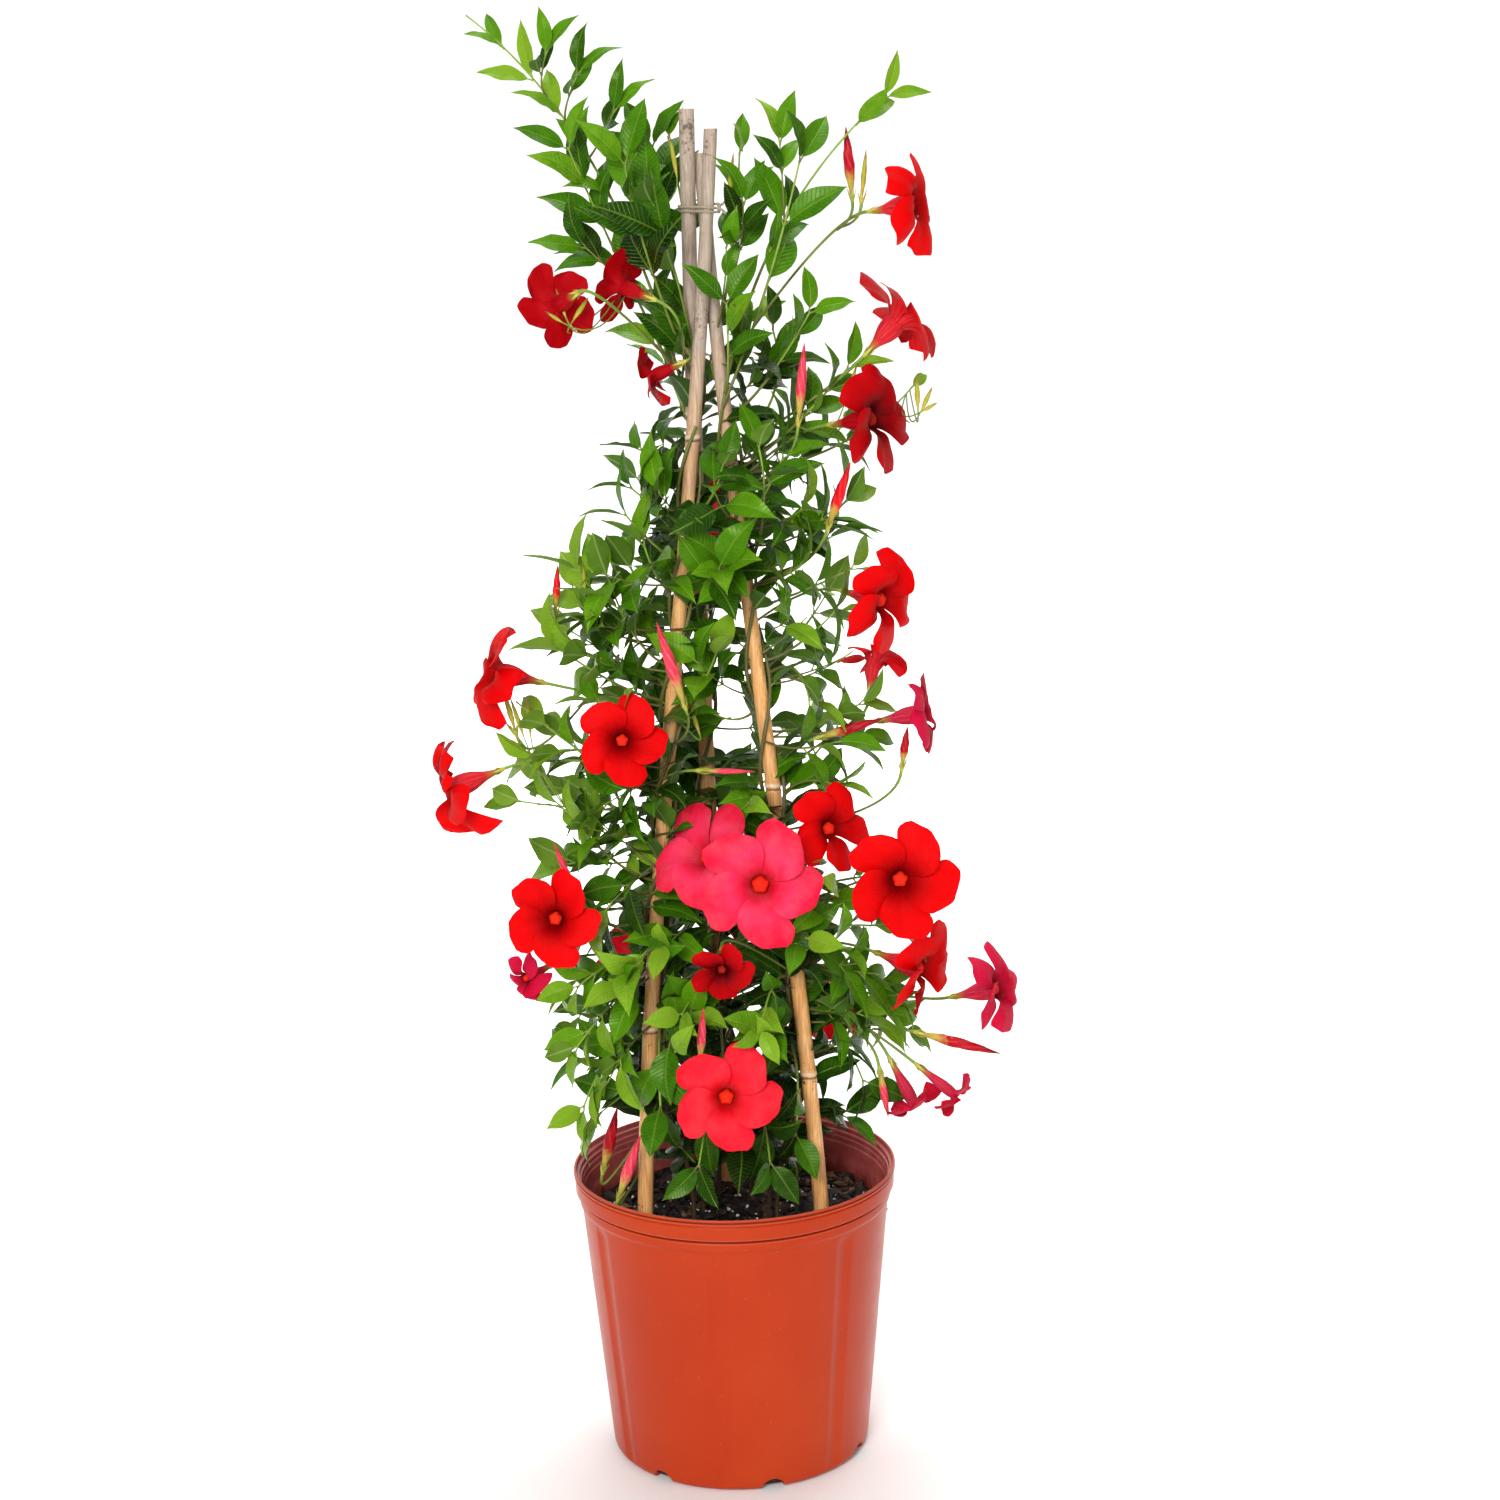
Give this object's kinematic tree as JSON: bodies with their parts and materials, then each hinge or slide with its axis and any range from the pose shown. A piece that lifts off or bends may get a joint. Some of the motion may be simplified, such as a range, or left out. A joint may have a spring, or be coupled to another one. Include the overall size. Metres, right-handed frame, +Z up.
{
  "type": "potted flowering vine",
  "caption": "Red-flowered twining vine grown up a tripod of bamboo canes, rooted in the potting mix of a round fluted nursery pot.",
  "frame": {"origin": "centre of the pot's flat base", "axes": "+Z up along the canes, +Y to the back of the plant, +X to its right as seen from the front"},
  "size_m": [0.4821, 0.3478, 1.233],
  "materials": {
    "pot_plastic": "moulded terracotta-coloured plastic with a soft sheen",
    "potting_mix": "damp composted bark with white perlite",
    "bamboo": "dry split-free cane, beige above and tan near the foot, with dark mottling",
    "twine": "greyed jute",
    "leaf_blade": "glossy deep green, yellower on young leaves",
    "vine_stem": "brown-green woody stem, olive on young shoots",
    "petal_red": "vivid red, velvety",
    "petal_rose": "rose red, velvety",
    "petal_crimson": "dark crimson, velvety",
    "bud_green": "unripe yellow-green bud",
    "calyx": "yellow-green calyx"
  },
  "bodies": {
    "root": {"pot": "pot_plastic", "soil": "potting_mix", "tie": "twine", "cane_left": "bamboo", "cane_right": "bamboo", "cane_back": "bamboo", "vine_left_1": "leaf_blade", "vine_left_2": "leaf_blade", "vine_right_1": "leaf_blade", "vine_right_2": "leaf_blade", "vine_back_1": "leaf_blade", "vine_back_2": "leaf_blade", "bloom_top_right": "petal_red", "bloom_upper_right": "petal_red", "bloom_right_dark": "petal_crimson", "bloom_mid_right": "petal_red", "bloom_mid_right_low": "petal_red", "bloom_right_trumpet": "petal_crimson", "bloom_upper_left": "petal_crimson", "bloom_upper_left_back": "petal_crimson", "bloom_left_of_canes": "petal_crimson", "bloom_mid_left": "petal_red", "bloom_left": "petal_red", "bloom_left_large": "petal_red", "bloom_lower_left": "petal_red", "bloom_lower_left_small": "petal_rose", "bloom_centre": "petal_rose", "bloom_centre_left": "petal_rose", "bloom_centre_right": "petal_red", "bloom_right_large": "petal_red", "bloom_centre_low": "petal_crimson", "bloom_above_pot": "petal_rose", "bloom_lower_right": "petal_red", "bloom_far_right": "petal_rose", "bloom_slender": "petal_rose", "bloom_slender_small": "petal_rose", "bloom_back_low": "petal_red", "bloom_back_left": "petal_rose", "bloom_back_right": "petal_red", "bloom_back_high": "petal_red", "bud_top_right": "petal_crimson", "bud_top_right_green": "bud_green", "bud_upper_right_pink": "petal_rose", "bud_right_long": "petal_red", "bud_right_reaching": "petal_crimson", "bud_right_nodding": "petal_crimson", "bud_left_upper": "petal_red", "bud_left_pink": "petal_rose", "bud_left_lower": "petal_rose", "bud_far_right": "petal_crimson", "bud_hanging": "petal_rose", "bud_in_pot": "petal_crimson", "bud_in_pot_pink": "petal_rose", "bud_centre_thin": "petal_rose", "bud_centre_low": "petal_rose", "bud_left_green": "bud_green"}
  },
  "joints": []
}
